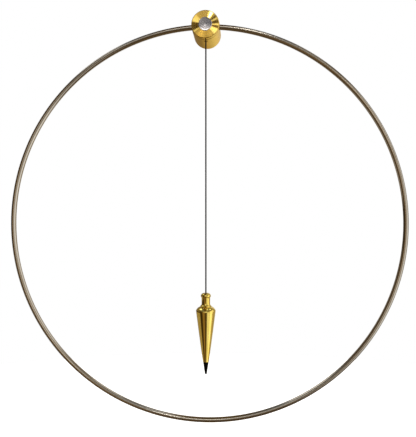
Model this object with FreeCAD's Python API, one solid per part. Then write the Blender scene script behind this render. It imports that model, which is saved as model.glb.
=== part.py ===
import FreeCAD, Part
import math
import os

# Pendulum wall clock. A steel hoop hangs from a round brass hub that stands off the wall,
# and a brass plumb bob hangs from the hub on one cord and swings inside the hoop.
# Millimetres. +Z is up and the front faces -Y. The origin is the centre of the face that
# meets the wall, which lies on the hub's axis.

# Driving dimensions
HOOP_OUTER_DIAMETER = 610.0
HOOP_ROD_RADIUS = 4.0
HUB_RADIUS = 21.3
HUB_DEPTH = 60.0
HOOP_BEHIND_FRONT = 15.0
CORD_RADIUS = 1.1
BOB_TOP_DROP = 405.4
BOB_LENGTH = 125.6
SWING_DEG = 5.0

# Clearances
RUNNING_FIT = 0.03
SLIP_FIT = 0.05
SLIDE_GAP = 0.1
SOCKET_GAP = 0.13

# Places along the hub's axis, measured from the wall towards the front
HOOP_Y = -(HUB_DEPTH - HOOP_BEHIND_FRONT)
FRONT_Y = -HUB_DEPTH
COVER_THICKNESS = 6.5
COVER_BACK_Y = FRONT_Y + COVER_THICKNESS
PARTING_GAP = 1.0
BODY_FRONT_Y = COVER_BACK_Y + PARTING_GAP
BODY_BACK_Y = -0.5
PLATE_THICKNESS = 4.0
LOCK_Y = -2.4
WEB_BACK_Y = -26.0
WEB_FRONT_Y = -29.0

# Hub
CHAMBER_RADIUS = 17.6
POCKET_HALF_WIDTH = 9.0
POCKET_TOP = 12.0
POCKET_BOTTOM = -16.5
COVER_SEAT_RADIUS = 18.2
COVER_SEAT_DEPTH = 2.9
CORD_SLOT_HALF_WIDTH = 3.4
CORD_SLOT_HALF_DEPTH = 1.7

# Hoop
HOOP_RADIUS = HOOP_OUTER_DIAMETER / 2 - HOOP_ROD_RADIUS
HOOP_END_X = POCKET_HALF_WIDTH + 0.4
GRUB_X = 15.0

# Wall plate
PLATE_RADIUS = CHAMBER_RADIUS - SLIDE_GAP
WALL_HOLE_RADIUS = 2.25
WALL_HOLE_SPACING = 21.0
COUNTERSINK_RADIUS = 4.5

# Pendulum
JOURNAL_RADIUS = 1.5
BUSH_RADIUS = 2.5
HANGER_HALF_THICKNESS = 2.0
BLOCK_HALF_THICKNESS = 3.0
BLOCK_TOP = -8.0
BLOCK_BOTTOM = -15.0
CLAMP_Z = (BLOCK_TOP + BLOCK_BOTTOM) / 2
MAGNET_THICKNESS = 2.5
COIL_Z = -10.5

# Board, behind the web
PILLAR_CIRCLE_RADIUS = 13.8
BOARD_FRONT_Y = -21.0
BOARD_BACK_Y = -19.6

# Plumb bob
BOB_TOP = -BOB_TOP_DROP
PARTING_Z = BOB_TOP - 20.8
BRASS_END_Z = BOB_TOP - 106.2
BOB_POINT_Z = BOB_TOP - BOB_LENGTH
POINT_BALL_RADIUS = 1.7
KNOT_Z = BOB_TOP - 18.8
KNOT_RADIUS = 2.3
CAP_BORE_RADIUS = CORD_RADIUS + 0.25
CAP_THREAD_RADIUS = 4.5

AXIS_Y = FreeCAD.Vector(0, 1, 0)
AXIS_Z = FreeCAD.Vector(0, 0, 1)
HOOP_CENTRE = FreeCAD.Vector(0, HOOP_Y, -HOOP_RADIUS)


def rod(radius, start, end):
    """A round bar between two points."""
    first, last = FreeCAD.Vector(*start), FreeCAD.Vector(*end)
    return Part.makeCylinder(radius, (last - first).Length, first, last - first)


def tube(outer, inner, start, end):
    """A round tube between two points."""
    return rod(outer, start, end).cut(rod(inner, start, end))


def block(x, y, z):
    """A box from the lowest and highest place on each axis."""
    return Part.makeBox(x[1] - x[0], y[1] - y[0], z[1] - z[0], FreeCAD.Vector(x[0], y[0], z[0]))


def face_of(place, start, steps):
    """A flat face: one point in a step is a straight run to it, two points are an arc to the second."""
    first = place(*start)
    here = first
    edges = []
    for step in steps:
        points = [place(*point) for point in step]
        if len(points) == 1:
            edges.append(Part.LineSegment(here, points[0]).toShape())
        else:
            edges.append(Part.Arc(here, points[0], points[1]).toShape())
        here = points[-1]
    edges.append(Part.LineSegment(here, first).toShape())
    return Part.Face(Part.Wire(edges))


def turned_on_hub(start, *steps):
    """A solid turned about the hub's axis from (radius, y) points."""
    face = face_of(lambda radius, y: FreeCAD.Vector(radius, y, 0), start, steps)
    return face.revolve(FreeCAD.Vector(0, 0, 0), AXIS_Y, 360)


def turned_on_cord(start, *steps):
    """A solid turned about the cord's line from (radius, z) points."""
    face = face_of(lambda radius, z: FreeCAD.Vector(radius, HOOP_Y, z), start, steps)
    return face.revolve(FreeCAD.Vector(0, HOOP_Y, 0), AXIS_Z, 360)


def hexagon(across_flats, y_back, y_front):
    """A hexagonal prism on the hub's axis."""
    corner = across_flats / 2 / math.cos(math.radians(30))
    corners = []
    for index in range(7):
        angle = math.radians(60 * index)
        corners.append(FreeCAD.Vector(corner * math.cos(angle), y_back, corner * math.sin(angle)))
    return Part.Face(Part.makePolygon(corners)).extrude(FreeCAD.Vector(0, y_front - y_back, 0))


def on_hoop(degrees):
    """The point on the hoop's centreline at an angle clockwise from its top."""
    angle = math.radians(degrees)
    return HOOP_RADIUS * math.sin(angle), HOOP_Y, HOOP_RADIUS * (math.cos(angle) - 1)


def wall_plate():
    """Steel disc screwed to the wall, with two countersunk holes side by side."""
    plate = rod(PLATE_RADIUS, (0, 0, 0), (0, -PLATE_THICKNESS, 0))
    sink_depth = COUNTERSINK_RADIUS - WALL_HOLE_RADIUS
    for side in (-1, 1):
        x = side * WALL_HOLE_SPACING / 2
        plate = plate.cut(rod(WALL_HOLE_RADIUS, (x, 0, 0), (x, -PLATE_THICKNESS, 0)))
        sink_start = FreeCAD.Vector(x, -PLATE_THICKNESS + sink_depth, 0)
        sink = Part.makeCone(WALL_HOLE_RADIUS, COUNTERSINK_RADIUS, sink_depth, sink_start, -AXIS_Y)
        plate = plate.cut(sink)
    return plate


def hub_body():
    """Brass cylinder: a chamber behind the web, a pendulum pocket in front, a socket each side."""
    body = rod(HUB_RADIUS, (0, BODY_BACK_Y, 0), (0, BODY_FRONT_Y, 0))
    body = body.cut(rod(CHAMBER_RADIUS, (0, BODY_BACK_Y, 0), (0, WEB_BACK_Y, 0)))
    body = body.cut(block(
        (-POCKET_HALF_WIDTH, POCKET_HALF_WIDTH),
        (BODY_FRONT_Y, WEB_FRONT_Y),
        (POCKET_BOTTOM, POCKET_TOP),
    ))
    seat_y = BODY_FRONT_Y + COVER_SEAT_DEPTH
    body = body.cut(rod(COVER_SEAT_RADIUS, (0, BODY_FRONT_Y, 0), (0, seat_y, 0)))
    body = body.cut(block(
        (-CORD_SLOT_HALF_WIDTH, CORD_SLOT_HALF_WIDTH),
        (HOOP_Y - CORD_SLOT_HALF_DEPTH, HOOP_Y + CORD_SLOT_HALF_DEPTH),
        (-HUB_RADIUS - 1, POCKET_BOTTOM),
    ))
    for side in (-1, 1):
        inner_end, outer_end = on_hoop(side * 1.6), on_hoop(side * 4.6)
        body = body.cut(rod(HOOP_ROD_RADIUS + SOCKET_GAP, inner_end, outer_end))
        x = side * GRUB_X
        body = body.cut(rod(2.0, (x, WEB_BACK_Y, 0), (x, HOOP_Y + HOOP_ROD_RADIUS, 0)))
        lead_x = side * 3.5
        body = body.cut(rod(0.8, (lead_x, WEB_BACK_Y, COIL_Z), (lead_x, WEB_FRONT_Y, COIL_Z)))
    body = body.cut(rod(1.3, (0, WEB_BACK_Y, 0), (0, WEB_FRONT_Y, 0)))
    return body.cut(rod(1.5, (0, LOCK_Y, CHAMBER_RADIUS - 1), (0, LOCK_Y, HUB_RADIUS + 1)))


def hub_locking_screw():
    """Set screw on top of the hub that presses on the wall plate's rim."""
    screw = rod(1.45, (0, LOCK_Y, PLATE_RADIUS + SLIP_FIT), (0, LOCK_Y, 20.6))
    socket = hexagon(1.5, 0, 1.2)
    socket.rotate(FreeCAD.Vector(0, 0, 0), FreeCAD.Vector(1, 0, 0), 90)
    socket.translate(FreeCAD.Vector(0, LOCK_Y, 19.5))
    return screw.cut(socket)


def ring():
    """Steel rod bent to a hoop, open at the top where both ends sit in the hub."""
    half_gap = math.degrees(math.asin(HOOP_END_X / HOOP_RADIUS))
    section = Part.Face(Part.Wire(Part.makeCircle(
        HOOP_ROD_RADIUS, FreeCAD.Vector(0, HOOP_Y, 0), FreeCAD.Vector(1, 0, 0)
    )))
    section.rotate(HOOP_CENTRE, AXIS_Y, half_gap)
    return section.revolve(HOOP_CENTRE, AXIS_Y, 360 - 2 * half_gap)


def ring_grub_screws():
    """Two set screws that press on the hoop's ends from behind."""
    screws = []
    tip_y = HOOP_Y + HOOP_ROD_RADIUS + SLIP_FIT
    for side in (-1, 1):
        x = side * GRUB_X
        screw = rod(1.95, (x, tip_y, 0), (x, tip_y + 6, 0))
        socket = hexagon(2.0, tip_y + 4, tip_y + 6)
        socket.translate(FreeCAD.Vector(x, 0, 0))
        screws.append(screw.cut(socket))
    return Part.Compound(screws)


def pivot_spindle():
    """Steel spindle: threaded shank through the web, shoulder, journal and circlip groove."""
    return turned_on_hub(
        (0, WEB_BACK_Y + 3.4), [(1.25, WEB_BACK_Y + 3.4)], [(1.25, WEB_FRONT_Y)],
        [(3.2, WEB_FRONT_Y)], [(3.2, WEB_FRONT_Y - 2)], [(JOURNAL_RADIUS, WEB_FRONT_Y - 2)],
        [(JOURNAL_RADIUS, -48.0)], [(1.1, -48.0)], [(1.1, -48.5)], [(JOURNAL_RADIUS, -48.5)],
        [(JOURNAL_RADIUS, -49.2)], [(0, -49.2)],
    )


def spindle_nut():
    """Hexagon nut on the shank, behind the web."""
    nut = hexagon(5.0, WEB_BACK_Y, WEB_BACK_Y + 2.2)
    return nut.cut(rod(1.27, (0, WEB_BACK_Y - 1, 0), (0, WEB_BACK_Y + 3, 0)))


def spindle_spacer():
    """Sleeve that keeps the hanger in line with the hoop."""
    hanger_back_y = HOOP_Y + HANGER_HALF_THICKNESS + 0.5
    return tube(2.6, JOURNAL_RADIUS + SLIP_FIT, (0, WEB_FRONT_Y - 2, 0), (0, hanger_back_y + 0.3, 0))


def spindle_circlip():
    """Open spring clip in the spindle's groove."""
    clip = tube(2.8, 1.12, (0, -48.05, 0), (0, -48.45, 0))
    return clip.cut(block((-0.8, 0.8), (-49, -47), (0.5, 4)))


def pendulum_hanger():
    """Brass lever: an eye on the spindle, a stem, and a block that clamps the cord."""
    eye = rod(5.0, (0, HOOP_Y - HANGER_HALF_THICKNESS, 0), (0, HOOP_Y + HANGER_HALF_THICKNESS, 0))
    stem = block(
        (-2.5, 2.5),
        (HOOP_Y - HANGER_HALF_THICKNESS, HOOP_Y + HANGER_HALF_THICKNESS),
        (BLOCK_TOP - 1, -3),
    )
    clamp = block(
        (-3.5, 3.5),
        (HOOP_Y - BLOCK_HALF_THICKNESS, HOOP_Y + BLOCK_HALF_THICKNESS),
        (BLOCK_BOTTOM, BLOCK_TOP),
    )
    hanger = eye.fuse([stem, clamp]).removeSplitter()
    hanger = hanger.cut(rod(BUSH_RADIUS, (0, HOOP_Y - 4, 0), (0, HOOP_Y + 4, 0)))
    hanger = hanger.cut(rod(1.4, (0, HOOP_Y, BLOCK_BOTTOM - 1), (0, HOOP_Y, BLOCK_TOP - 0.8)))
    return hanger.cut(rod(1.25, (0, HOOP_Y - 4, CLAMP_Z), (0, HOOP_Y, CLAMP_Z)))


def hanger_bush():
    """Bronze bush pressed into the hanger's eye, running on the spindle."""
    half_length = HANGER_HALF_THICKNESS + 0.5
    return tube(
        BUSH_RADIUS, JOURNAL_RADIUS + RUNNING_FIT,
        (0, HOOP_Y - half_length, 0), (0, HOOP_Y + half_length, 0),
    )


def cord_clamp_screw():
    """Slotted screw in the front of the hanger's block, with its tip at the cord."""
    block_front_y = HOOP_Y - BLOCK_HALF_THICKNESS
    tip_y = HOOP_Y - CORD_RADIUS - SLIDE_GAP
    shank = rod(1.2, (0, tip_y, CLAMP_Z), (0, block_front_y, CLAMP_Z))
    head = rod(2.2, (0, block_front_y, CLAMP_Z), (0, block_front_y - 1.2, CLAMP_Z))
    slot = block((-3, 3), (block_front_y - 2, block_front_y - 0.6), (CLAMP_Z - 0.3, CLAMP_Z + 0.3))
    return shank.fuse(head).removeSplitter().cut(slot)


def drive_magnet():
    """Disc magnet on the back of the hanger's block."""
    back_y = HOOP_Y + BLOCK_HALF_THICKNESS
    return rod(3.0, (0, back_y, CLAMP_Z), (0, back_y + MAGNET_THICKNESS, CLAMP_Z))


def coil_bobbin():
    """Plastic bobbin on the front of the web, with a flange at each end."""
    front_y = HOOP_Y + BLOCK_HALF_THICKNESS + MAGNET_THICKNESS + 1.1
    profile = face_of(
        lambda radius, y: FreeCAD.Vector(radius, y, 0),
        (1.0, WEB_FRONT_Y),
        ([(5.0, WEB_FRONT_Y)], [(5.0, WEB_FRONT_Y - 0.8)], [(2.0, WEB_FRONT_Y - 0.8)],
         [(2.0, front_y + 0.8)], [(5.0, front_y + 0.8)], [(5.0, front_y)], [(1.0, front_y)]),
    )
    bobbin = profile.revolve(FreeCAD.Vector(0, 0, 0), AXIS_Y, 360)
    bobbin.translate(FreeCAD.Vector(0, 0, COIL_Z))
    for side in (-1, 1):
        x = side * 3.5
        bobbin = bobbin.cut(rod(0.5, (x, WEB_FRONT_Y, COIL_Z), (x, WEB_FRONT_Y - 0.8, COIL_Z)))
    return bobbin


def drive_coil():
    """Copper winding between the bobbin's flanges."""
    front_y = HOOP_Y + BLOCK_HALF_THICKNESS + MAGNET_THICKNESS + 1.1
    return tube(
        4.6, 2.05, (0, WEB_FRONT_Y - 0.9, COIL_Z), (0, front_y + 0.9, COIL_Z)
    )


def coil_leads():
    """Two insulated leads from the winding, through the web, to the board."""
    leads = []
    for side in (-1, 1):
        x = side * 3.5
        leads.append(rod(0.3, (x, WEB_FRONT_Y - 0.85, COIL_Z), (x, BOARD_FRONT_Y, COIL_Z)))
    return Part.Compound(leads)


def around(count, radius, first_deg):
    """Places (x, z) spaced evenly on a circle about the hub's axis."""
    places = []
    for index in range(count):
        angle = math.radians(first_deg + 360 * index / count)
        places.append((radius * math.cos(angle), radius * math.sin(angle)))
    return places


def board_pillars():
    """Three pillars between the web and the board."""
    pillars = []
    for x, z in around(3, PILLAR_CIRCLE_RADIUS, 90):
        pillars.append(tube(2.0, 1.0, (x, WEB_BACK_Y, z), (x, BOARD_FRONT_Y, z)))
    return Part.Compound(pillars)


def circuit_board():
    """Round board with a hole for each screw."""
    board = rod(16.2, (0, BOARD_FRONT_Y, 0), (0, BOARD_BACK_Y, 0))
    for x, z in around(3, PILLAR_CIRCLE_RADIUS, 90):
        board = board.cut(rod(1.05, (x, BOARD_FRONT_Y, z), (x, BOARD_BACK_Y, z)))
    return board


def board_screws():
    """Three pan head screws through the board into the pillars."""
    screws = []
    for x, z in around(3, PILLAR_CIRCLE_RADIUS, 90):
        shank = rod(0.95, (x, BOARD_FRONT_Y - 3, z), (x, BOARD_BACK_Y, z))
        head = rod(1.7, (x, BOARD_BACK_Y, z), (x, BOARD_BACK_Y + 1.2, z))
        slot = block((x - 2, x + 2), (BOARD_BACK_Y + 0.7, BOARD_BACK_Y + 2), (z - 0.25, z + 0.25))
        screws.append(shank.fuse(head).removeSplitter().cut(slot))
    return Part.Compound(screws)


def control_chip():
    """Chip below the battery holder, with a row of legs each side."""
    body = block((-2.5, 2.5), (BOARD_BACK_Y + 0.2, BOARD_BACK_Y + 1.3), (-14.8, -12.8))
    legs = []
    for index in range(4):
        x = -1.8 + 1.2 * index
        legs.append(block((x - 0.2, x + 0.2), (BOARD_BACK_Y, BOARD_BACK_Y + 0.5), (-15.2, -12.4)))
    return body.fuse(legs).removeSplitter()


def quartz_crystal():
    """Small round can that lies on the board."""
    y = BOARD_BACK_Y + 1.0
    return rod(1.0, (7.5, y, 11.7), (11.7, y, 7.5))


def battery_holder():
    """Plastic cup for the coin cell."""
    return turned_on_hub(
        (0, BOARD_BACK_Y), [(11.2, BOARD_BACK_Y)], [(11.2, -14.9)], [(10.2, -14.9)],
        [(10.2, -18.6)], [(0, -18.6)],
    )


def coin_cell():
    """Coin cell: a can with a smaller raised cap on its front side."""
    return turned_on_hub(
        (0, -18.45), [(8.6, -18.45)], [(8.6, -18.1)], [(9.6, -18.1)],
        [(9.9, -18.0), (10.0, -17.7)], [(10.0, -15.2)], [(0, -15.2)],
    )


def battery_clip():
    """Spring strap across the cell, with a leg on the board at each side."""
    strap = block((-11.9, 11.9), (-14.8, -14.4), (-3, 3))
    legs = []
    for side in (-1, 1):
        leg_x = sorted((side * 11.5, side * 11.9))
        legs.append(block(leg_x, (BOARD_BACK_Y, -14.8), (-3, 3)))
    return strap.fuse(legs).removeSplitter()


def front_flange():
    """Turned brass front cover: a plate with a rim, and a spigot with a groove for the O-ring."""
    groove_y = BODY_FRONT_Y + 1.45
    return turned_on_hub(
        (4.1, FRONT_Y), [(20.5, FRONT_Y)], [(20.85, FRONT_Y + 0.15), (21.0, FRONT_Y + 0.5)],
        [(21.0, COVER_BACK_Y)], [(18.0, COVER_BACK_Y)],
        [(18.0, groove_y - 0.5)], [(17.15, groove_y - 0.5)], [(17.15, groove_y + 0.5)],
        [(18.0, groove_y + 0.5)], [(18.0, -49.8)], [(16.5, -49.8)], [(16.5, FRONT_Y + 5.5)],
        [(4.1, FRONT_Y + 5.5)],
    )


def cover_o_ring():
    """Rubber ring in the spigot's groove."""
    centre = FreeCAD.Vector(0, BODY_FRONT_Y + 1.45, 0)
    return Part.makeTorus(17.65, 0.45, centre, AXIS_Y)


def centre_button():
    """Turned steel button: a head with a raised rim round a shallow dish, and a threaded shank."""
    return turned_on_hub(
        (0, FRONT_Y - 1.4), [(7.9, FRONT_Y - 1.75)], [(8.0, FRONT_Y - 2.04)], [(9.7, FRONT_Y - 2.2)],
        [(10.05, FRONT_Y - 1.85)], [(10.05, FRONT_Y)], [(4.0, FRONT_Y)], [(4.0, -50.8)], [(0, -50.8)],
    )


def button_nut():
    """Hexagon nut on the button's shank, inside the cover."""
    nut = hexagon(13.0, FRONT_Y + 5.5, FRONT_Y + 8.5)
    return nut.cut(rod(4.05, (0, FRONT_Y + 5, 0), (0, FRONT_Y + 9, 0)))


def cord():
    """Braided line, straight under the bob's weight, from the clamp to the knot."""
    return rod(CORD_RADIUS, (0, HOOP_Y, BLOCK_TOP - 1.2), (0, HOOP_Y, KNOT_Z))


def cord_knot():
    """Knot at the cord's lower end."""
    return Part.makeSphere(KNOT_RADIUS, FreeCAD.Vector(0, HOOP_Y, KNOT_Z)).cut(cord())


def bob_cap():
    """Screw cap: a bead, a neck and a flared foot, bored for the cord and hollow for the knot."""
    return turned_on_cord(
        (CAP_BORE_RADIUS, BOB_TOP), [(3.9, BOB_TOP)], [(5.3, BOB_TOP - 0.6)],
        [(7.7, BOB_TOP - 3.9), (6.6, BOB_TOP - 6.9)], [(6.5, BOB_TOP - 16.4)],
        [(7.05, BOB_TOP - 18.1), (8.5, BOB_TOP - 19.5)], [(8.5, PARTING_Z)],
        [(CAP_THREAD_RADIUS, PARTING_Z)], [(CAP_THREAD_RADIUS, PARTING_Z - 7)],
        [(2.6, PARTING_Z - 7)], [(2.6, BOB_TOP - 18.6)], [(CAP_BORE_RADIUS, BOB_TOP - 16.1)],
    )


def bob_body():
    """Turned brass body: a round shoulder, a long taper, and a threaded hole at each end."""
    top = PARTING_Z - SLIP_FIT
    return turned_on_cord(
        (CAP_THREAD_RADIUS + SLIP_FIT, top), [(8.9, top)],
        [(12.9, top - 2.5), (15.2, top - 5.9)],
        [(10.0, BOB_TOP - 66.8), (4.6, BRASS_END_Z)],
        [(2.0, BRASS_END_Z)], [(2.0, BRASS_END_Z + 10.5)], [(0, BRASS_END_Z + 10.5)],
        [(0, top - 11)], [(CAP_THREAD_RADIUS + SLIP_FIT, top - 11)],
    )


def bob_tip():
    """Blackened steel point with a threaded shank in the body and a ball nose."""
    top = BRASS_END_Z - SLIP_FIT
    ball_z = BOB_POINT_Z + POINT_BALL_RADIUS
    ball = []
    for degrees in (8, 45):
        angle = math.radians(degrees)
        ball.append((POINT_BALL_RADIUS * math.cos(angle), ball_z - POINT_BALL_RADIUS * math.sin(angle)))
    return turned_on_cord(
        (0, BRASS_END_Z + 10), [(2.0 - SLIP_FIT, BRASS_END_Z + 10)], [(2.0 - SLIP_FIT, top)],
        [(4.3, top)], [ball[0]], [ball[1], (0, BOB_POINT_Z)],
    )


PIECES = [
    wall_plate, hub_body, hub_locking_screw, ring, ring_grub_screws, pivot_spindle, spindle_nut,
    spindle_spacer, spindle_circlip, pendulum_hanger, hanger_bush, cord_clamp_screw, drive_magnet,
    coil_bobbin, drive_coil, coil_leads, board_pillars, circuit_board, board_screws, control_chip,
    quartz_crystal, battery_holder, coin_cell, battery_clip, front_flange, cover_o_ring,
    centre_button, button_nut, cord, cord_knot, bob_cap, bob_body, bob_tip,
]

os.makedirs("parts", exist_ok=True)
for piece in PIECES:
    piece().exportStep(f"parts/{piece.__name__}.step")

swing_at_slot = HUB_RADIUS * math.tan(math.radians(SWING_DEG)) + CORD_RADIUS
print(f"{len(PIECES)} pieces, hoop radius {HOOP_RADIUS:.1f} mm")
print(f"cord reaches {swing_at_slot:.2f} mm each side in a slot of {CORD_SLOT_HALF_WIDTH} mm")
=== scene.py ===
import math

import bpy
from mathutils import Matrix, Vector


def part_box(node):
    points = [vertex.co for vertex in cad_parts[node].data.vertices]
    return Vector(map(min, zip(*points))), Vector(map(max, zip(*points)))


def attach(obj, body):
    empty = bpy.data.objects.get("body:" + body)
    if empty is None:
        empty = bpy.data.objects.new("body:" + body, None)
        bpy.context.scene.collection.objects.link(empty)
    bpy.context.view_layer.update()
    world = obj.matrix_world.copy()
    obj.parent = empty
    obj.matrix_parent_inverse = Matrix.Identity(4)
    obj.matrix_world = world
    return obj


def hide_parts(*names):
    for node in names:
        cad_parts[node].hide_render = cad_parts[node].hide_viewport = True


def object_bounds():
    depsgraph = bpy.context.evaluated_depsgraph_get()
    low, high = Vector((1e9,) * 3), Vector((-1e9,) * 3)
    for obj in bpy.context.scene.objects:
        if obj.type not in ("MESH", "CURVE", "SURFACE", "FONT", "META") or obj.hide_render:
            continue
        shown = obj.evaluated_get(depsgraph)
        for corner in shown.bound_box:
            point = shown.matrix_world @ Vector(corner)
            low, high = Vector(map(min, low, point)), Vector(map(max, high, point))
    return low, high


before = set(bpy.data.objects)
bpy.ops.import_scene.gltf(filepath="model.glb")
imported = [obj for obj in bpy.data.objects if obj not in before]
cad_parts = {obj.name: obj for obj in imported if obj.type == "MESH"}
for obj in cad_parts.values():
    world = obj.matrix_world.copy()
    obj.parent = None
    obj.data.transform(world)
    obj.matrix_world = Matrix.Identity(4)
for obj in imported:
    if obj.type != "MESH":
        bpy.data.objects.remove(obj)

cad_box = [list(corner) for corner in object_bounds()]

# Studio: the camera stands a little right of the clock, near the height of the hoop's middle,
# and looks slightly down and to the left. All the light comes from the room round the clock.
MM = 0.001
EYE = Vector((0.0555, -0.9187, -0.2672))
EYE_YAW, EYE_PITCH = math.radians(-3.42), math.radians(-1.54)
LENS_MM = 47.1

camera_data = bpy.data.cameras.new("studio_camera")
camera_data.lens = LENS_MM
camera = bpy.data.objects.new("studio_camera", camera_data)
bpy.context.collection.objects.link(camera)
camera.location = EYE
gaze = Vector((
    math.sin(EYE_YAW) * math.cos(EYE_PITCH),
    math.cos(EYE_YAW) * math.cos(EYE_PITCH),
    math.sin(EYE_PITCH),
))
camera.rotation_mode = "QUATERNION"
camera.rotation_quaternion = gaze.to_track_quat("-Z", "Y")
bpy.context.scene.camera = camera
bpy.context.scene.view_settings.view_transform = "Standard"


class Wire:
    """One output of a shader node; arithmetic on it adds Math nodes."""

    def __init__(self, tree, socket):
        self.tree, self.socket = tree, socket

    def math(self, operation, *others):
        node = self.tree.nodes.new("ShaderNodeMath")
        node.operation = operation
        for value, socket in zip((self, *others), node.inputs):
            plug(self.tree, socket, value)
        return Wire(self.tree, node.outputs[0])

    def __add__(self, other):
        return self.math("ADD", other)

    def __sub__(self, other):
        return self.math("SUBTRACT", other)

    def __rsub__(self, other):
        return (self * -1) + other

    def __mul__(self, other):
        return self.math("MULTIPLY", other)

    def __truediv__(self, other):
        return self.math("DIVIDE", other)

    def __pow__(self, other):
        return self.math("POWER", other)

    __radd__, __rmul__ = __add__, __mul__


def plug(tree, socket, value):
    """Links a wire to a socket, or sets the socket's own value."""
    if isinstance(value, Wire):
        tree.links.new(value.socket, socket)
    else:
        socket.default_value = value


class Nodes:
    """The nodes of a material or of the room's light, being built."""

    def __init__(self, tree):
        self.tree = tree

    def node(self, kind, settings, inputs, output=0):
        made = self.tree.nodes.new("ShaderNode" + kind)
        for name, value in settings.items():
            setattr(made, name, value)
        for name, value in inputs.items():
            plug(self.tree, made.inputs[name], value)
        return Wire(self.tree, made.outputs[output])

    def ramp(self, value, stops, low=0.0, high=1.0):
        """Colours blended along a value; each stop is a place and a colour."""
        made = self.tree.nodes.new("ShaderNodeValToRGB")
        marks = made.color_ramp.elements
        while len(marks) < len(stops):
            marks.new(1.0)
        for mark, (place, colour) in zip(marks, stops):
            mark.position = (place - low) / (high - low)
            mark.color = (*colour, 1)
        plug(self.tree, made.inputs[0], (value - low) / (high - low))
        return Wire(self.tree, made.outputs[0])

    def rise(self, value, start, end):
        """0 before the start, 1 after the end, and smooth between."""
        return self.node("MapRange", {"interpolation_type": "SMOOTHSTEP"}, {
            "Value": value, "From Min": start, "From Max": end,
        })

    def blend(self, factor, first, second):
        """One colour mixed into another."""
        return self.node("Mix", {"data_type": "RGBA"}, {0: factor, 6: first, 7: second}, 2)

    def axes(self, vector):
        """The three numbers of a vector."""
        made = self.tree.nodes.new("ShaderNodeSeparateXYZ")
        plug(self.tree, made.inputs[0], vector)
        return [Wire(self.tree, output) for output in made.outputs]


# Room light: a dim warm room with soft boxes round the walls, seen only in the metal. Azimuth 0
# is in front of the clock and 90 on its right.
WARM_DARK, WARM, PALE, COOL = (1, 0.66, 0.32), (1, 0.86, 0.66), (1, 0.99, 0.94), (0.86, 0.93, 1)
BRIGHTEST = 10.0


def lit(tint, level):
    """A tint at a brightness, as a share of the brightest box."""
    return tuple(level / BRIGHTEST * channel for channel in tint)


world = bpy.data.worlds.new("room")
bpy.context.scene.world = world
world.use_nodes = True
world.node_tree.nodes.clear()
room = Nodes(world.node_tree)
toward_x, toward_y, toward_z = room.axes(room.node("TexCoord", {}, {}, "Generated"))
azimuth = toward_x.math("ARCTAN2", toward_y * -1) * math.degrees(1)
elevation = toward_z.math("ARCSINE") * math.degrees(1)

side_walls = room.ramp(azimuth, [
    (-180, lit(WARM, 0.55)), (-174, lit(WARM, 0.48)), (-167, lit(WARM, 0.26)), (-154, lit(WARM, 0.24)),
    (-140, lit(WARM, 0.38)), (-78, lit(WARM, 0.40)), (-68, lit(WARM_DARK, 0.05)),
    (-44, lit(WARM_DARK, 0.04)), (-36, lit(WARM_DARK, 0.20)), (-18, lit(WARM_DARK, 0.36)),
    (-11, lit(WARM_DARK, 0.10)), (13, lit(WARM_DARK, 0.08)), (24, lit(PALE, 0.88)),
    (42, lit(PALE, 1.0)), (50, lit(PALE, 0.66)), (60, lit(PALE, 1.4)), (84, lit(PALE, 1.3)),
    (98, lit(WARM, 0.50)), (148, lit(WARM, 0.36)), (158, lit(PALE, 1.0)), (170, lit(PALE, 0.64)),
    (180, lit(WARM, 0.55)),
], -180, 180)
upper_walls = room.ramp(azimuth, [
    (-180, lit(WARM, 0.55)), (-174, lit(WARM, 0.48)), (-167, lit(WARM, 0.24)), (-120, lit(WARM, 0.24)),
    (-74, lit(WARM_DARK, 0.10)), (-44, lit(WARM_DARK, 0.10)), (-28, lit(WARM, 0.26)),
    (-20, lit(PALE, 0.85)), (13, lit(PALE, 0.90)), (22, lit(WARM, 0.36)), (48, lit(WARM, 0.40)),
    (58, lit(PALE, 1.15)), (108, lit(PALE, 1.15)), (122, lit(WARM, 0.40)), (150, lit(WARM, 0.40)),
    (158, lit(PALE, 1.0)), (170, lit(PALE, 0.64)), (180, lit(WARM, 0.55)),
], -180, 180)
walls = room.blend(room.rise(elevation, 2, 8), side_walls, upper_walls)

# A dark corner stands far to the left at eye level, and the floor below the walls is dim.
far_left = room.rise(azimuth, -152, -144) * (1 - room.rise(azimuth, -74, -66))
eye_level = room.rise(elevation, -10, -7) * (1 - room.rise(elevation, 2, 8))
walls = room.blend(far_left * eye_level, walls, (*lit(WARM_DARK, 0.07), 1))
walls = room.blend(room.rise(elevation, -48, -34), (*lit(WARM_DARK, 0.14), 1), walls)

# The ceiling is dim as well, with three small bright boxes that light the bob's shoulder.
ceiling = room.ramp(toward_x, [
    (-1, lit(COOL, 0.30)), (-0.46, lit(COOL, 0.26)), (-0.20, lit(WARM_DARK, 0.12)),
    (0.08, lit(WARM_DARK, 0.14)), (0.17, lit(COOL, 0.30)), (0.50, lit(WARM, 0.26)),
    (1, lit(WARM, 0.26)),
], -1, 1)
BOX_EDGE = 0.04


def ceiling_box(over, across_low, across_high, back_low, back_high, level):
    """A bright box set into the ceiling, between two distances across and two towards the wall."""
    inside = room.rise(toward_x, across_low - BOX_EDGE, across_low)
    inside = inside * (1 - room.rise(toward_x, across_high, across_high + BOX_EDGE))
    inside = inside * room.rise(toward_y, back_low - BOX_EDGE, back_low)
    inside = inside * (1 - room.rise(toward_y, back_high, back_high + BOX_EDGE))
    return room.blend(inside, over, (*lit(PALE, level), 1))


ceiling = ceiling_box(ceiling, -0.66, -0.50, 0.00, 0.36, 2.4)
ceiling = ceiling_box(ceiling, 0.13, 0.25, -0.26, 0.06, 1.1)
ceiling = ceiling_box(ceiling, 0.42, 0.54, 0.06, 0.30, 1.8)
walls = room.blend(room.rise(elevation, 36, 44), walls, ceiling)

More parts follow.
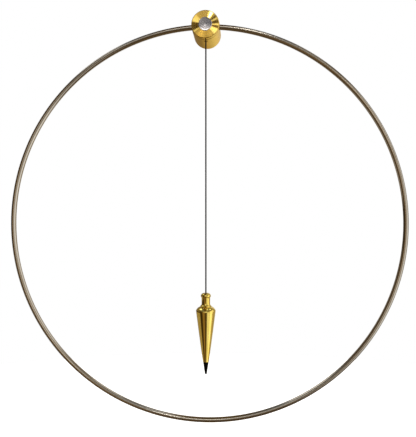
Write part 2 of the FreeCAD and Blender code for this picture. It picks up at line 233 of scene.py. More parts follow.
# The hub's faced front mirrors the part of the room that lies above and behind the camera. Narrow
# boxes fan out there from one point: the outer fan is seen by the brass rings, the middle by the
# steel button's rim and the centre by its dish.
FAN_AZIMUTH, FAN_ELEVATION = -3.6, 16.9
across = azimuth - FAN_AZIMUTH
up = elevation - FAN_ELEVATION
away = (across * across + up * up) ** 0.5
round_the_fan = up.math("ARCTAN2", across) * math.degrees(1)
fan = room.ramp(round_the_fan, [
    (-180, lit(WARM_DARK, 0.05)), (-155, lit(WARM_DARK, 0.04)), (-152.5, lit(PALE, 1.1)),
    (-147.5, lit(PALE, 1.1)), (-145, lit(WARM, 0.42)), (-124, lit(WARM, 0.82)), (-104, lit(WARM, 0.85)),
    (-84, lit(WARM, 0.55)), (-62, lit(WARM, 0.80)), (-50, lit(WARM, 0.60)), (-44, lit(PALE, 1.5)),
    (-22, lit(PALE, 2.0)), (-18, lit(WARM_DARK, 0.20)), (-7, lit(WARM_DARK, 0.12)),
    (-4, lit(PALE, 1.6)), (1.5, lit(PALE, 1.6)), (4, lit(WARM_DARK, 0.06)), (20, lit(WARM_DARK, 0.06)),
    (23, lit(PALE, 1.3)), (28, lit(PALE, 1.3)), (31, lit(WARM_DARK, 0.06)), (40, lit(WARM_DARK, 0.08)),
    (43, lit(WARM, 0.45)), (53, lit(WARM, 0.50)), (56, lit(PALE, 10)), (67, lit(PALE, 10)),
    (70, lit(WARM, 0.62)), (134, lit(WARM, 0.58)), (141, lit(PALE, 1.3)), (165, lit(PALE, 1.6)),
    (169, lit(WARM_DARK, 0.05)), (180, lit(WARM_DARK, 0.05)),
], -180, 180)
in_fan = room.rise(away, 12.5, 14) * (1 - room.rise(away, 20.5, 22))
middle = room.ramp(round_the_fan, [
    (-180, lit(COOL, 0.12)), (-145, lit(COOL, 0.12)), (-130, lit(COOL, 0.20)), (-90, lit(PALE, 0.32)),
    (-20, lit(PALE, 0.30)), (-8, lit(COOL, 0.10)), (8, lit(COOL, 0.10)), (20, lit(PALE, 0.42)),
    (52, lit(PALE, 0.50)), (58, lit(PALE, 3.2)), (124, lit(PALE, 3.2)), (132, lit(PALE, 0.50)),
    (160, lit(COOL, 0.30)), (170, lit(COOL, 0.12)), (180, lit(COOL, 0.12)),
], -180, 180)
in_middle = room.rise(away, 7.5, 8.5) * (1 - room.rise(away, 12.5, 14))
centre = room.ramp(round_the_fan, [
    (-180, lit(COOL, 0.12)), (-145, lit(COOL, 0.12)), (-130, lit(COOL, 0.20)), (-90, lit(PALE, 0.34)),
    (-20, lit(PALE, 0.28)), (-8, lit(COOL, 0.10)), (8, lit(COOL, 0.10)), (20, lit(PALE, 0.38)),
    (70, lit(PALE, 0.45)), (80, lit(PALE, 1.5)), (100, lit(PALE, 1.5)), (112, lit(PALE, 0.50)),
    (160, lit(COOL, 0.32)), (170, lit(COOL, 0.12)), (180, lit(COOL, 0.12)),
], -180, 180)
in_centre = 1 - room.rise(away, 7.5, 8.5)
reflected = room.blend(in_fan, walls, fan)
reflected = room.blend(in_middle, reflected, middle)
reflected = room.blend(in_centre, reflected, centre)

room_light = room.node("Background", {}, {"Color": reflected, "Strength": BRIGHTEST})
white = room.node("Background", {}, {"Color": (1, 1, 1, 1), "Strength": 1.0})
seen = room.node("LightPath", {}, {}, "Is Camera Ray")
shown = room.node("MixShader", {}, {0: seen, 1: room_light, 2: white})
world_output = world.node_tree.nodes.new("ShaderNodeOutputWorld")
plug(world.node_tree, world_output.inputs["Surface"], shown)

# Floor: a plain pale sheet below the wall piece, well clear of it.
FLOOR_DROP, FLOOR_RADIUS = 1.5, 6.0
bpy.ops.object.select_all(action="DESELECT")
bpy.ops.mesh.primitive_circle_add(
    vertices=96, radius=FLOOR_RADIUS, fill_type="NGON", location=(0, 0, cad_box[0][2] - FLOOR_DROP)
)
floor = bpy.context.object
floor.name = "studio_floor"
bpy.ops.object.transform_apply(location=True, rotation=False, scale=False)
pale = bpy.data.materials.new("pale_floor")
pale.use_nodes = True
pale_shader = pale.node_tree.nodes["Principled BSDF"]
pale_shader.inputs["Base Color"].default_value = (0.9, 0.9, 0.9, 1)
pale_shader.inputs["Roughness"].default_value = 0.8
pale_shader.inputs["Emission Color"].default_value = (1, 1, 1, 1)
pale_shader.inputs["Emission Strength"].default_value = 1.0
floor.data.materials.append(pale)
floor.visible_glossy = False
floor.visible_diffuse = False


# The cord is a braided dark line, 2.2 mm thick. Its top is clamped in the hanger inside the
# hub, it leaves through the slot in the hub's underside, and a knot in the bob's cap ends it.
CORD_DIAMETER = 2.2 * MM
CORD_Y = -45 * MM
CORD_TOP_Z, SLOT_Z, CAP_TOP_Z, KNOT_Z = -9.2 * MM, -21.3 * MM, -405.4 * MM, -424.2 * MM
KNOT_RADIUS = 2.3 * MM
PLAITS = 4
PLAIT_RISE = 3.2 * MM
cord_route = [
    (0, CORD_Y, CORD_TOP_Z),
    (0, CORD_Y, SLOT_Z),
    (0, CORD_Y, (SLOT_Z + CAP_TOP_Z) / 2),
    (0, CORD_Y, CAP_TOP_Z),
    (0, CORD_Y, KNOT_Z),
]


class Finish(Nodes):
    """A material: its shader, and Object coordinates in metres."""

    def __init__(self, name, **same_all_over):
        self.material = bpy.data.materials.new(name)
        self.material.use_nodes = True
        super().__init__(self.material.node_tree)
        self.shader = self.tree.nodes["Principled BSDF"]
        for socket, value in same_all_over.items():
            self.shader.inputs[socket.replace("_", " ")].default_value = value
        self.place = self.node("TexCoord", {}, {}, "Object")
        self.x, self.y, self.z = self.axes(self.place)

    def set(self, socket, wire):
        plug(self.tree, self.shader.inputs[socket], wire)

    def noise(self, scale, detail=3, roughness=0.5):
        """Cloudy variation from 0 to 1; the scale is in spots per metre."""
        return self.node("TexNoise", {}, {
            "Vector": self.place, "Scale": scale, "Detail": detail, "Roughness": roughness,
        }, "Fac")

    def lines(self, along, scale, detail=2):
        """Uneven lines that depend on one length only, as a tool leaves them."""
        return self.node("TexNoise", {"noise_dimensions": "1D"}, {
            "W": along, "Scale": scale, "Detail": detail, "Roughness": 0.7,
        }, "Fac")

    def bump(self, height, distance):
        """A surface raised by the height, where a height of 1 is the distance in metres."""
        return self.node("Bump", {}, {"Height": height, "Distance": distance, "Strength": 1.0}, "Normal")

    def radius(self, first, second):
        """Distance from an axis, from the two lengths square to it."""
        return (first * first + second * second) ** 0.5


def line_finish():
    """Dark polyester line: two sets of strands cross over each other round the core."""
    finish = Finish("braided_line", Roughness=0.75, Specular_IOR_Level=0.3)
    across = finish.y - CORD_Y
    turn = finish.x.math("ARCTAN2", across)
    climb = finish.z * (2 * math.pi / PLAIT_RISE)
    one_way = (turn * PLAITS + climb).math("SINE")
    other_way = (turn * PLAITS - climb).math("SINE")
    strands = one_way.math("MAXIMUM", other_way) * 0.5 + 0.5
    fibre = finish.noise(4000, 2)
    shade = strands * 0.7 + fibre * 0.3
    colour = finish.ramp(shade, [(0.0, (0.005, 0.004, 0.004)), (1.0, (0.040, 0.032, 0.030))])
    finish.set("Base Color", colour)
    finish.set("Normal", finish.bump(strands, 0.0002))
    return finish.material


line_material = line_finish()
cord_curve = bpy.data.curves.new("cord_line", "CURVE")
cord_curve.dimensions = "3D"
cord_spline = cord_curve.splines.new("NURBS")
cord_spline.points.add(len(cord_route) - 1)
for point, place in zip(cord_spline.points, cord_route):
    point.co = (*place, 1)
cord_spline.order_u = 3
cord_spline.use_endpoint_u = True
cord_curve.bevel_depth = CORD_DIAMETER / 2
cord_curve.bevel_resolution = 6
cord_curve.use_fill_caps = True
cord_line = bpy.data.objects.new("cord_line", cord_curve)
bpy.context.collection.objects.link(cord_line)
cord_curve.materials.append(line_material)


def edit_all(piece):
    """Opens a piece for editing with everything on it selected."""
    bpy.ops.object.select_all(action="DESELECT")
    piece.select_set(True)
    bpy.context.view_layer.objects.active = piece
    bpy.ops.object.mode_set(mode="EDIT")
    bpy.ops.mesh.select_all(action="SELECT")


def close_up(piece, material, sharp_deg=35):
    """Ends an edit: merges seams, turns the faces outward, smooths and paints the piece."""
    bpy.ops.mesh.select_all(action="SELECT")
    bpy.ops.mesh.remove_doubles(threshold=0.000002)
    bpy.ops.mesh.normals_make_consistent(inside=False)
    bpy.ops.object.mode_set(mode="OBJECT")
    bpy.ops.object.shade_smooth_by_angle(angle=math.radians(sharp_deg))
    piece.data.materials.clear()
    piece.data.materials.append(material)


def turned(name, outline, centre, axis, out, material, steps=128, sharp_deg=35):
    """A turned piece: an edge drawn through (radius, length) points and spun about an axis."""
    centre, axis, out = Vector(centre), Vector(axis), Vector(out)
    places = [centre + out * radius + axis * length for radius, length in outline]
    bpy.ops.object.select_all(action="DESELECT")
    bpy.ops.mesh.primitive_plane_add(size=MM)
    piece = bpy.context.object
    piece.name = piece.data.name = name
    edit_all(piece)
    bpy.ops.mesh.merge(type="CENTER")
    bpy.ops.transform.translate(value=places[0])
    for here, there in zip(places, places[1:]):
        bpy.ops.mesh.extrude_region_move(TRANSFORM_OT_translate={"value": there - here})
    bpy.ops.mesh.select_all(action="SELECT")
    bpy.ops.mesh.spin(steps=steps, angle=2 * math.pi, center=centre, axis=axis)
    close_up(piece, material, sharp_deg)
    return piece


def soften(piece, width, sharp_deg=38):
    """Breaks the sharp edges of a piece with a small round bevel."""
    bevel = piece.modifiers.new("broken_edges", "BEVEL")
    bevel.width = width
    bevel.segments = 2
    bevel.limit_method = "ANGLE"
    bevel.angle_limit = math.radians(sharp_deg)
    bpy.ops.object.select_all(action="DESELECT")
    piece.select_set(True)
    bpy.context.view_layer.objects.active = piece
    bpy.ops.object.modifier_apply(modifier=bevel.name)
    bpy.ops.object.shade_smooth_by_angle(angle=math.radians(sharp_deg))


bpy.ops.object.select_all(action="DESELECT")
bpy.ops.mesh.primitive_uv_sphere_add(
    segments=32, ring_count=16, radius=KNOT_RADIUS, location=(0, CORD_Y, KNOT_Z)
)
cord_knot = bpy.context.object
cord_knot.name = cord_knot.data.name = "cord_end_knot"
bpy.ops.object.transform_apply(location=True, rotation=False, scale=False)
bpy.ops.object.shade_smooth()
cord_knot.data.materials.append(line_material)
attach(cord_knot, "cord")
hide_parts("cord_knot")

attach(cord_line, "cord")
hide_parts("cord")


# The hub is a turned brass cylinder that stands off the wall. It is bored from behind for the
# board and milled in front for the pendulum, with a socket each side for the hoop's ends.
hub_low, hub_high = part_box("hub_body")
HUB_RADIUS = hub_high.x
HUB_BACK, HUB_FRONT = hub_high.y, hub_low.y
CHAMBER_RADIUS, WEB_BACK, WEB_FRONT = 17.6 * MM, -26 * MM, -29 * MM
SEAT_RADIUS, SEAT_DEPTH = 18.2 * MM, 2.9 * MM
POCKET_HALF_WIDTH, POCKET_TOP, POCKET_BOTTOM = 9 * MM, 12 * MM, -16.5 * MM
SLOT_HALF_WIDTH, SLOT_HALF_DEPTH = 3.4 * MM, 1.7 * MM
SOCKET_RADIUS = 4.13 * MM
SOCKET_INNER_X, SOCKET_INNER_Z = 8.4 * MM, -0.12 * MM
SOCKET_OUTER_X, SOCKET_OUTER_Z = 24.1 * MM, -0.97 * MM
SPINDLE_HOLE_RADIUS, LOCKING_HOLE_RADIUS, LOCKING_HOLE_Y = 1.3 * MM, 1.5 * MM, -2.4 * MM
BEVEL = 0.35 * MM


def satin_brass(name, facing):
    """Satin brass with fine lathe marks: round the barrel, or in rings on a face."""
    finish = Finish(name, Metallic=1.0, Specular_Tint=(0.97, 0.80, 0.50, 1))
    radius = finish.radius(finish.x, finish.z)
    along = radius if facing else finish.y
    fine = finish.lines(along, 2600, 3)
    coarse = finish.lines(along, 420, 2)
    cloud = finish.noise(55, 4, 0.6)
    tone = cloud * 0.6 + coarse * 0.4
    colour = finish.ramp(tone, [
        (0.25, (0.76, 0.52, 0.11)), (0.5, (0.89, 0.64, 0.16)), (0.8, (0.95, 0.73, 0.24)),
    ])
    finish.set("Base Color", colour)
    finish.set("Roughness", cloud * 0.04 + fine * 0.03 + (0.03 if facing else 0.14))
    rings = finish.bump(fine * 0.6 + coarse * 0.4, 0.00002 if facing else 0.00005)
    finish.set("Normal", rings)
    return finish.material


ON_HUB = ((0, 0, 0), (0, 1, 0), (1, 0, 0))
barrel_brass = satin_brass("hub_barrel_brass", facing=False)
hub_barrel = turned("hub_barrel", [
    (0, WEB_BACK), (CHAMBER_RADIUS, WEB_BACK), (CHAMBER_RADIUS, HUB_BACK), (HUB_RADIUS, HUB_BACK),
    (HUB_RADIUS, HUB_FRONT), (SEAT_RADIUS, HUB_FRONT), (SEAT_RADIUS, HUB_FRONT + SEAT_DEPTH),
    (0, HUB_FRONT + SEAT_DEPTH),
], *ON_HUB, barrel_brass)
soften(hub_barrel, BEVEL)


def cutter(name, low, high):
    """A box used to mill a pocket."""
    low, high = Vector(low), Vector(high)
    bpy.ops.object.select_all(action="DESELECT")
    bpy.ops.mesh.primitive_cube_add(size=1, location=(low + high) / 2, scale=high - low)
    bpy.ops.object.transform_apply(location=True, rotation=False, scale=True)
    box = bpy.context.object
    box.name = name
    return box


def drill(name, radius, start, end):
    """A round bar used to drill a hole."""
    start, end = Vector(start), Vector(end)
    bpy.ops.object.select_all(action="DESELECT")
    bpy.ops.mesh.primitive_cylinder_add(
        vertices=48, radius=radius, depth=(end - start).length, location=(start + end) / 2,
        rotation=(end - start).to_track_quat("Z", "Y").to_euler(),
    )
    bpy.ops.object.transform_apply(location=True, rotation=True, scale=False)
    bar = bpy.context.object
    bar.name = name
    return bar


def cut_away(piece, tools):
    """Cuts each tool's shape out of a piece, and throws the tools away."""
    for tool in tools:
        boolean = piece.modifiers.new("cut", "BOOLEAN")
        boolean.operation = "DIFFERENCE"
        boolean.solver = "EXACT"
        boolean.object = tool
        bpy.ops.object.select_all(action="DESELECT")
        piece.select_set(True)
        bpy.context.view_layer.objects.active = piece
        bpy.ops.object.modifier_apply(modifier=boolean.name)
        bpy.data.objects.remove(tool)
    bpy.ops.object.shade_smooth_by_angle(angle=math.radians(35))


hub_tools = [
    cutter("pendulum_pocket", (-POCKET_HALF_WIDTH, HUB_FRONT - MM, POCKET_BOTTOM),
           (POCKET_HALF_WIDTH, WEB_FRONT, POCKET_TOP)),
    cutter("cord_slot", (-SLOT_HALF_WIDTH, CORD_Y - SLOT_HALF_DEPTH, -HUB_RADIUS - MM),
           (SLOT_HALF_WIDTH, CORD_Y + SLOT_HALF_DEPTH, POCKET_BOTTOM + MM)),
    drill("spindle_hole", SPINDLE_HOLE_RADIUS, (0, WEB_BACK + MM, 0), (0, WEB_FRONT - MM, 0)),
    drill("locking_hole", LOCKING_HOLE_RADIUS,
          (0, LOCKING_HOLE_Y, CHAMBER_RADIUS - MM), (0, LOCKING_HOLE_Y, 23 * MM)),
]
for side in (-1, 1):
    hub_tools.append(drill(
        "hoop_socket", SOCKET_RADIUS,
        (side * SOCKET_INNER_X, CORD_Y, SOCKET_INNER_Z), (side * SOCKET_OUTER_X, CORD_Y, SOCKET_OUTER_Z),
    ))
cut_away(hub_barrel, hub_tools)
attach(hub_barrel, "hub")
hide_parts("hub_body")


# The front cover is a turned brass disc with a facing cut that leaves fine rings, a broken
# rim, and a spigot behind that an O-ring holds in the hub.
cover_low, cover_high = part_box("front_flange")
FACE_Y, COVER_BACK = cover_low.y, -53.5 * MM
COVER_RADIUS = cover_high.x
SHANK_HOLE, BUTTON_RADIUS = 4.1 * MM, 10.05 * MM
RING_PITCH, RING_DEPTH = 0.42 * MM, 0.060 * MM
RING_EDGE_DEG = 6
RIM_ROUND = 1.0 * MM
PLATE_BACK = -54.5 * MM
SPIGOT_RADIUS, SPIGOT_BORE, SPIGOT_END = 18 * MM, 16.5 * MM, -49.8 * MM
GROOVE_RADIUS, GROOVE_FRONT, GROOVE_BACK = 17.15 * MM, -51.55 * MM, -50.55 * MM


def faced_rings(start, end, y, pitch, depth):
    """(radius, y) points of the shallow stepped rings that a facing cut leaves."""
    count = round(abs(end - start) / pitch)
    points = []
    for index in range(count):
        left = start + (end - start) * index / count
        right = start + (end - start) * (index + 0.92) / count
        uneven = 1 + 0.12 * math.sin(index * 2.4)
        points += [(left, y), (right, y + depth * uneven)]
    return points + [(end, y)]


cover_brass = satin_brass("front_cover_brass", facing=True)
front_cover = turned("front_cover_disc", [
    (SHANK_HOLE, FACE_Y),
    *faced_rings(BUTTON_RADIUS - MM, COVER_RADIUS - RIM_ROUND, FACE_Y, RING_PITCH, RING_DEPTH),
    (COVER_RADIUS - 0.62 * MM, FACE_Y + 0.08 * MM), (COVER_RADIUS - 0.3 * MM, FACE_Y + 0.29 * MM),
    (COVER_RADIUS - 0.08 * MM, FACE_Y + 0.61 * MM), (COVER_RADIUS, FACE_Y + RIM_ROUND),
    (COVER_RADIUS, COVER_BACK), (SPIGOT_RADIUS, COVER_BACK), (SPIGOT_RADIUS, GROOVE_FRONT),
    (GROOVE_RADIUS, GROOVE_FRONT), (GROOVE_RADIUS, GROOVE_BACK), (SPIGOT_RADIUS, GROOVE_BACK),
    (SPIGOT_RADIUS, SPIGOT_END), (SPIGOT_BORE, SPIGOT_END), (SPIGOT_BORE, PLATE_BACK),
    (SHANK_HOLE, PLATE_BACK), (SHANK_HOLE, FACE_Y),
], *ON_HUB, cover_brass, steps=160, sharp_deg=RING_EDGE_DEG)
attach(front_cover, "front_cover")
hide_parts("front_flange")


# The button is a turned steel bolt through the cover, with a dished face and a bevelled rim,
# held by a nut behind.
button_low, button_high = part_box("centre_button")


def turned_steel(name):
    """Bright steel with lathe rings."""
    finish = Finish(name, Metallic=1.0)
    radius = finish.radius(finish.x, finish.z)
    fine = finish.lines(radius, 2600, 3)
    cloud = finish.noise(160, 3, 0.6)
    colour = finish.ramp(cloud, [(0.3, (0.52, 0.48, 0.49)), (0.7, (0.62, 0.59, 0.60))])
    finish.set("Base Color", colour)
    finish.set("Roughness", cloud * 0.06 + fine * 0.06 + 0.1)
    finish.set("Normal", finish.bump(fine, 0.00002))
    return finish.material


button_steel = turned_steel("button_steel")
LAND_IN, LAND_OUT = 7.9 * MM, 9.7 * MM
LAND_BACK, DISH_EDGE, DISH_RISE = 0.16 * MM, 0.45 * MM, 0.33 * MM
DISH_RINGS, DISH_UNEVEN = 18, 0.006 * MM
BUTTON_FACE, BUTTON_END, SHANK_RADIUS = button_low.y, button_high.y, 4 * MM


def dish_point(radius, uneven):
    """A point of the button's dish, which deepens evenly towards its middle."""
    return radius, BUTTON_FACE + DISH_EDGE + DISH_RISE * (1 - radius / LAND_IN) + uneven


dish = []
for index in range(DISH_RINGS):
    uneven = DISH_UNEVEN * math.sin(index * 2.4)
    dish.append(dish_point(LAND_IN * (1 - index / DISH_RINGS), uneven))
    dish.append(dish_point(LAND_IN * (1 - (index + 0.9) / DISH_RINGS), -uneven))
button = turned("steel_button", [
    dish_point(0, 0), *dish[::-1],
    (LAND_IN + 0.1 * MM, BUTTON_FACE + LAND_BACK), (LAND_OUT, BUTTON_FACE),
    (BUTTON_RADIUS, BUTTON_FACE + 0.35 * MM),
    (BUTTON_RADIUS, FACE_Y), (SHANK_RADIUS, FACE_Y), (SHANK_RADIUS, BUTTON_END), (0, BUTTON_END),
], *ON_HUB, button_steel, sharp_deg=RING_EDGE_DEG)
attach(button, "front_cover")
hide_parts("centre_button")


# The hoop is 8 mm drawn steel rod rolled to a circle, with a satin drawn finish. Both ends
# sit in the hub's sockets and are gripped by set screws.
ring_low, ring_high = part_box("ring")
ROD_RADIUS = (ring_high.y - ring_low.y) / 2
HOOP_RADIUS = (ring_high.x - ring_low.x) / 2 - ROD_RADIUS
HOOP_END_X = 9.4 * MM


def drawn_steel():
    """Drawn rod: faint lines along a warm grey metal, with painted shade that darkens the hoop's outer
    side.
    """
    finish = Finish("drawn_steel", Metallic=1.0)
    out = finish.radius(finish.x, finish.z + HOOP_RADIUS) - HOOP_RADIUS
    turn = out.math("ARCTAN2", finish.y - CORD_Y)
    drawn = finish.lines(turn, 7, 4)
    cloud = finish.noise(14, 5, 0.6)
    speck = finish.noise(900, 2)
    tone = cloud * 0.5 + drawn * 0.3 + speck * 0.2
    colour = finish.ramp(tone, [(0.3, (0.43, 0.38, 0.32)), (0.7, (0.59, 0.54, 0.47))])
    # Painted shade: the base colour is blended towards a dark brown on the rod's side away from the
    # hoop's middle, standing in for the dark that edge mirrors.
    painted_shade_outer_side = finish.rise(out / ROD_RADIUS, 0.30, 0.85) * 0.85
    finish.set("Base Color", finish.blend(painted_shade_outer_side, colour, (0.13, 0.11, 0.09, 1)))
    finish.set("Roughness", cloud * 0.05 + speck * 0.03 + 0.06)
    finish.set("Normal", finish.bump(drawn * 0.5 + speck * 0.05, 0.00003))
    return finish.material


bpy.ops.object.select_all(action="DESELECT")
bpy.ops.mesh.primitive_torus_add(
    major_radius=HOOP_RADIUS, minor_radius=ROD_RADIUS, major_segments=420, minor_segments=28,
    location=(0, CORD_Y, -HOOP_RADIUS), rotation=(math.pi / 2, 0, 0),
)
hoop = bpy.context.object
hoop.name = hoop.data.name = "steel_hoop"
bpy.ops.object.transform_apply(location=True, rotation=True, scale=False)
for side in (-1, 1):
    edit_all(hoop)
    bpy.ops.mesh.bisect(plane_co=(side * HOOP_END_X, CORD_Y, 0), plane_no=(1, 0, 0))
    bpy.ops.object.mode_set(mode="OBJECT")
bpy.ops.object.mode_set(mode="EDIT")
bpy.ops.mesh.select_all(action="DESELECT")
bpy.ops.object.mode_set(mode="OBJECT")
for face in hoop.data.polygons:
    middle = face.center
    face.select = abs(middle.x) < HOOP_END_X and middle.z > -HOOP_RADIUS
bpy.ops.object.mode_set(mode="EDIT")
bpy.ops.mesh.delete(type="FACE")
bpy.ops.mesh.select_all(action="SELECT")
bpy.ops.mesh.fill_holes(sides=64)
close_up(hoop, drawn_steel())
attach(hoop, "hub")
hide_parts("ring")


# The plumb bob's cap is turned brass: a bead, a neck and a flared foot. It screws into the
# body, and the cord's knot sits inside it.
BOB_TOP = CAP_TOP_Z


def arc(first, middle, last, count):
    """Points on the circle through three (radius, length) points."""
    (ax, ay), (bx, by), (cx, cy) = first, middle, last
    d = 2 * (ax * (by - cy) + bx * (cy - ay) + cx * (ay - by))
    a2, b2, c2 = ax * ax + ay * ay, bx * bx + by * by, cx * cx + cy * cy
    ox = (a2 * (by - cy) + b2 * (cy - ay) + c2 * (ay - by)) / d
    oy = (a2 * (cx - bx) + b2 * (ax - cx) + c2 * (bx - ax)) / d
    start, halfway, end = (math.atan2(y - oy, x - ox) for x, y in (first, middle, last))
    halfway = start + (halfway - start + math.pi) % (2 * math.pi) - math.pi
    end = halfway + (end - halfway + math.pi) % (2 * math.pi) - math.pi
    size = math.hypot(ax - ox, ay - oy)
    return [
        (ox + size * math.cos(start + (end - start) * step / count),
         oy + size * math.sin(start + (end - start) * step / count))
        for step in range(count + 1)
    ]


def bob_outline(points):
    """(radius, drop) in millimetres below the bob's top, as metres along the cord's line."""
    return [(radius * MM, BOB_TOP - drop * MM) for radius, drop in points]


def polished_brass(name):
    """Polished brass with faint turning lines round it."""
    finish = Finish(name, Metallic=1.0)
    fine = finish.lines(finish.z, 1800, 3)
    cloud = finish.noise(70, 4, 0.6)
    colour = finish.ramp(cloud * 0.7 + fine * 0.3, [
        (0.3, (0.82, 0.59, 0.11)), (0.55, (0.91, 0.69, 0.17)), (0.8, (0.96, 0.77, 0.25)),
    ])
    finish.set("Base Color", colour)
    finish.set("Roughness", cloud * 0.05 + fine * 0.04 + 0.05)
    finish.set("Normal", finish.bump(fine, 0.00001))
    return finish.material


bob_brass = polished_brass("bob_brass")
ON_CORD = ((0, CORD_Y, 0), (0, 0, 1), (1, 0, 0))
cap = turned("plumb_cap", bob_outline([
    (1.35, 0.25), (1.6, 0), (3.9, 0), (5.3, 0.6),
    *arc((5.3, 0.6), (7.7, 3.9), (6.6, 6.9), 14)[1:],
    (6.5, 16.4), *arc((6.5, 16.4), (7.05, 18.1), (8.5, 19.5), 8)[1:], (8.5, 20.6), (8.3, 20.8),
    (4.5, 20.8), (4.5, 27.8), (2.6, 27.8), (2.6, 18.6), (1.35, 16.1), (1.35, 0.25),
]), *ON_CORD, bob_brass)
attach(cap, "bob")
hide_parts("bob_cap")

# The bob's body is one turned and polished brass cone with a round shoulder. It is bored and
# threaded at both ends, for the cap above and for the point below.
body = turned("plumb_body", bob_outline([
    (0, 31.9), (4.55, 31.9), (4.55, 20.85), *arc((8.9, 20.85), (12.9, 23.35), (15.2, 26.75), 12),
    *arc((15.2, 26.75), (10.0, 66.8), (4.65, 105.4), 24)[1:],
    (4.6, 106.0), (4.4, 106.2), (2.0, 106.2), (2.0, 95.7), (0, 95.7),
]), *ON_CORD, bob_brass)
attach(body, "bob")
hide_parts("bob_body")


# The point is hardened steel, blackened all over and screwed into the brass. Its end is
# rounded off.
NOSE_RADIUS, NOSE_MIDDLE = 1.7, 123.9


def black_steel():
    """Blackened steel: a dull, nearly black coat with faint turning lines."""
    finish = Finish("black_steel", Metallic=0.0, Specular_IOR_Level=0.05)
    cloud = finish.noise(300, 4, 0.6)
    finish.set("Base Color", finish.ramp(cloud, [
        (0.3, (0.001, 0.001, 0.001)), (0.7, (0.003, 0.003, 0.003)),
    ]))
    finish.set("Roughness", cloud * 0.2 + 0.35)
    finish.set("Normal", finish.bump(finish.lines(finish.z, 2600, 2), 0.00003))
    return finish.material


blackened = black_steel()
nose_turns = [math.radians(degrees) for degrees in range(8, 90, 9)]
point = turned("plumb_point", bob_outline([
    (0, 96.2), (1.95, 96.2), (1.95, 106.25), (4.3, 106.25),
    *[(NOSE_RADIUS * math.cos(turn), NOSE_MIDDLE + NOSE_RADIUS * math.sin(turn)) for turn in nose_turns],
    (0, NOSE_MIDDLE + NOSE_RADIUS),
]), *ON_CORD, blackened)
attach(point, "bob")
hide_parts("bob_tip")


# Wall plate, nuts and plain screws are zinc-plated steel, faintly spangled and rubbed along one
# way. They, and all the small pieces below, keep their machined shapes.
def paint(names, material):
    """Gives pieces that keep their machined shape their finish."""
    for name in names:
        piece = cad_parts[name]
        piece.data.materials.clear()
        piece.data.materials.append(material)


def plated(name, low, high, rough, spot):
    """Plated metal: cloudy spangle, with fine rubbed lines that run level."""
    finish = Finish(name, Metallic=1.0)
    cloud = finish.noise(spot, 4, 0.6)
    rubbed = finish.lines(finish.z, 1500, 3)
    finish.set("Base Color", finish.ramp(cloud * 0.7 + rubbed * 0.3, [(0.3, low), (0.7, high)]))
    finish.set("Roughness", cloud * 0.15 + rubbed * 0.1 + rough)
    finish.set("Normal", finish.bump(rubbed, 0.00002))
    return finish.material


zinc = plated("zinc_plate", (0.42, 0.43, 0.45), (0.60, 0.61, 0.62), 0.22, 160)
paint(["wall_plate", "spindle_nut", "cord_clamp_screw", "board_screws", "button_nut"], zinc)

# Magnet, board pillars, crystal can, coin cell and its spring strap are nickel plated.
nickel = plated("nickel_plate", (0.55, 0.54, 0.52), (0.74, 0.73, 0.70), 0.12, 240)
paint(["drive_magnet", "board_pillars", "quartz_crystal", "coin_cell", "battery_clip"], nickel)

# Set screws and circlip are blackened steel, like the bob's point. The screws grip the wall
# plate and the hoop's ends, and the circlip keeps the hanger on its spindle.
paint(["hub_locking_screw", "ring_grub_screws", "spindle_circlip"], blackened)

# The journal is ground steel, and the hanger that swings on it is milled from satin brass.
paint(["pivot_spindle"], button_steel)
paint(["pendulum_hanger"], satin_brass("hanger_brass", facing=False))


# Bush and spacer are pressed from bronze powder and sintered, so they are left with a fine
# grain. The bush is pressed into the hanger's eye.
def sintered_bronze():
    """Sintered bronze: fine brown pores all over."""
    finish = Finish("sintered_bronze", Metallic=1.0)
    grain = finish.node("TexVoronoi", {}, {"Vector": finish.place, "Scale": 5000.0}, "Distance")
    cloud = finish.noise(300, 3)
    tone = grain * 0.6 + cloud * 0.4
    finish.set("Base Color", finish.ramp(tone, [(0.25, (0.20, 0.10, 0.04)), (0.6, (0.47, 0.28, 0.12))]))
    finish.set("Roughness", tone * 0.2 + 0.32)
    finish.set("Normal", finish.bump(grain, 0.00004))
    return finish.material


paint(["hanger_bush", "spindle_spacer"], sintered_bronze())


# Coil and leads are enamelled copper wire, wound in close turns round the bobbin.
WIRE_PITCH = 0.25 * MM


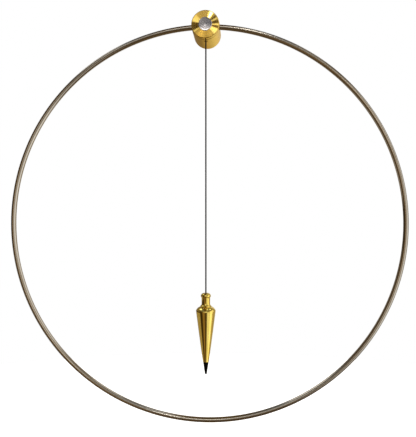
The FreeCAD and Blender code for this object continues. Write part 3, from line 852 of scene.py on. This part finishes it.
def copper_wire():
    """Enamelled copper wire, seen turn by turn."""
    finish = Finish("copper_wire", Metallic=1.0)
    turns = (finish.y * (2 * math.pi / WIRE_PITCH)).math("SINE") * 0.5 + 0.5
    cloud = finish.noise(500, 3)
    finish.set("Base Color", finish.ramp(turns * 0.7 + cloud * 0.3, [
        (0.1, (0.25, 0.07, 0.02)), (0.6, (0.62, 0.24, 0.09)), (0.9, (0.78, 0.34, 0.15)),
    ]))
    finish.set("Roughness", cloud * 0.15 + 0.15)
    finish.set("Normal", finish.bump(turns, 0.0001))
    return finish.material


paint(["drive_coil", "coil_leads"], copper_wire())


# The board is glass fibre under green solder mask, with lighter tracks that run level and upright.
TRACK_GRID = 420


def solder_mask():
    """Green board coating with raised, lighter tracks under it."""
    finish = Finish("solder_mask", Roughness=0.28)
    flat = finish.node("CombineXYZ", {}, {"X": finish.x, "Y": finish.z, "Z": 0.0})
    tracks = finish.node("TexBrick", {"offset": 0.5, "squash": 1.6}, {
        "Vector": flat, "Scale": TRACK_GRID, "Mortar Size": 0.07, "Mortar Smooth": 0.2,
    }, "Fac")
    weave = finish.noise(2500, 2)
    green = finish.ramp(weave, [(0.3, (0.004, 0.060, 0.022)), (0.7, (0.008, 0.095, 0.038))])
    track = finish.ramp(weave, [(0.3, (0.012, 0.150, 0.060)), (0.7, (0.020, 0.190, 0.080))])
    finish.set("Base Color", finish.blend(tracks, green, track))
    finish.set("Normal", finish.bump(tracks, 0.00004))
    return finish.material


paint(["circuit_board"], solder_mask())


# Bobbin, chip and battery holder are moulded black plastic with a fine matt grain. The O-ring is
# black rubber, duller and slightly dusty.
def black_moulded(name, low, high, rough, spot):
    """A moulded black surface with a fine grain."""
    finish = Finish(name)
    grain = finish.noise(spot, 4, 0.6)
    finish.set("Base Color", finish.ramp(grain, [(0.3, low), (0.7, high)]))
    finish.set("Roughness", grain * 0.2 + rough)
    finish.set("Normal", finish.bump(grain, 0.00003))
    return finish.material


plastic = black_moulded("black_plastic", (0.010, 0.010, 0.011), (0.028, 0.028, 0.029), 0.40, 2500)
paint(["coil_bobbin", "control_chip", "battery_holder"], plastic)
rubber = black_moulded("black_rubber", (0.008, 0.008, 0.008), (0.022, 0.021, 0.020), 0.60, 900)
paint(["cover_o_ring"], rubber)
